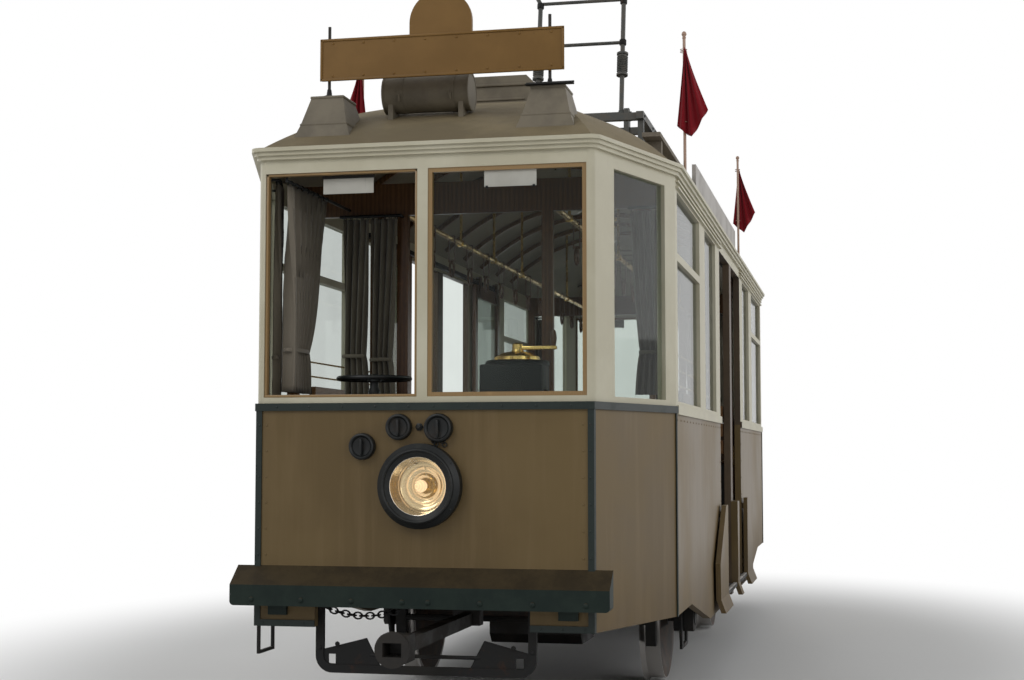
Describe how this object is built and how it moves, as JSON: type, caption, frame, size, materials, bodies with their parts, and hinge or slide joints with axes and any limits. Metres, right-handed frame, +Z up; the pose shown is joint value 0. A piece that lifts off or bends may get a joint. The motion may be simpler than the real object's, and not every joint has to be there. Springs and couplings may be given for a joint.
{
  "type": "two-axle tram",
  "caption": "Double-ended two-axle electric tram with centre entrances, tapered ends, a domed roof and a bow collector.",
  "frame": {"origin": "middle of the car at the lowest point of the wheel flanges, 20 mm under the rail head", "axes": "+X to the right seen from the front, -Y to the front end of the picture, +Z up; the car is the same after a half turn about +Z"},
  "size_m": [2.3, 9.312, 5.301],
  "materials": {
    "black_iron": "matt, dusty",
    "ochre_panel": "satin enamel, worn",
    "cream_frame": "satin enamel",
    "cornice_cream": "satin enamel",
    "dark_green": "gloss enamel",
    "roof_canvas": "painted canvas over boards, weathered",
    "roof_wood": "weathered, bare",
    "board_white": "satin enamel, blank",
    "grey_iron": "satin, weathered",
    "floor_wood": "worn boards",
    "varnished_wood": "varnished",
    "bench_wood": "varnished slats",
    "window_glass": "clear",
    "lamp_glass": "clear, warm",
    "reflector": "polished inside",
    "wheel_steel": "worn treads",
    "cast_black": "oily",
    "brass": "polished handles",
    "curtain_cloth": "heavy cotton",
    "flag_cloth": "plain cotton",
    "stick_wood": "painted",
    "copper_bow": "dark, galvanised"
  },
  "bodies": {
    "car": {"solebars": "black_iron", "centre_sills": "black_iron", "cross_beams": "black_iron", "floor": "floor_wood", "entrance_steps": "black_iron", "dash_panels": "ochre_panel", "corner_panels": "ochre_panel", "side_panels": "ochre_panel", "wall_frame_right": "cream_frame", "wall_frame_left": "cream_frame", "end_frame_front": "cream_frame", "end_frame_rear": "cream_frame", "window_glass": "window_glass", "window_trims": "varnished_wood", "green_bands": "dark_green", "side_mouldings": "cornice_cream", "cornice": "cornice_cream", "roof": "roof_canvas", "bumpers": "dark_green", "couplers": "cast_black", "lifeguards": "black_iron", "step_irons": "black_iron", "headlamps": "reflector", "headlamp_lenses": "lamp_glass", "signal_caps": "grey_iron", "axle_guards": "black_iron", "axle_boxes": "cast_black", "leaf_springs": "black_iron", "brake_gear": "black_iron", "motors": "cast_black", "door_rails": "black_iron", "step_shields": "ochre_panel", "bench_slats": "bench_wood", "bench_frames": "black_iron", "partitions": "varnished_wood", "cab_controls": "brass", "curtains": "curtain_cloth", "ceiling_rails": "brass", "roof_planks": "roof_wood", "roof_side_boards": "board_white", "roof_equipment": "grey_iron", "route_boards": "board_white", "collector_stand": "grey_iron", "flag_sticks": "stick_wood", "flags": "flag_cloth"},
    "wheelset_front": {"axle_front": "wheel_steel", "wheels_front": "wheel_steel"},
    "wheelset_rear": {"axle_rear": "wheel_steel", "wheels_rear": "wheel_steel"},
    "leaf_right_front": {"door_right_front": "varnished_wood", "door_glass_right_front": "window_glass"},
    "leaf_right_rear": {"door_right_rear": "varnished_wood", "door_glass_right_rear": "window_glass"},
    "leaf_left_front": {"door_left_front": "varnished_wood", "door_glass_left_front": "window_glass"},
    "leaf_left_rear": {"door_left_rear": "varnished_wood", "door_glass_left_rear": "window_glass"},
    "collector": {"collector_bow": "copper_bow"}
  },
  "joints": [
    {"name": "wheelset_front_turn", "type": "hinge", "parent": "car", "child": "wheelset_front", "pos_m": [0, -1.5, 0.4], "axis": [1, 0, 0], "continuous": true},
    {"name": "wheelset_rear_turn", "type": "hinge", "parent": "car", "child": "wheelset_rear", "pos_m": [0, 1.5, 0.4], "axis": [1, 0, 0], "continuous": true},
    {"name": "door_right_front_slide", "type": "slide", "parent": "car", "child": "leaf_right_front", "axis": [0, 1, 0], "range_m": [0, 0.865]},
    {"name": "door_right_rear_slide", "type": "slide", "parent": "car", "child": "leaf_right_rear", "axis": [0, -1, 0], "range_m": [0, 0.865]},
    {"name": "door_left_front_slide", "type": "slide", "parent": "car", "child": "leaf_left_front", "axis": [0, 1, 0], "range_m": [0, 0.865]},
    {"name": "door_left_rear_slide", "type": "slide", "parent": "car", "child": "leaf_left_rear", "axis": [0, -1, 0], "range_m": [0, 0.865]},
    {"name": "collector_hinge", "type": "hinge", "parent": "car", "child": "collector", "pos_m": [0, 0, 3.8], "axis": [-1, 0, 0], "range_deg": [0, 68], "stiffness_Nm_per_rad": 260, "springref_deg": -34.38}
  ]
}
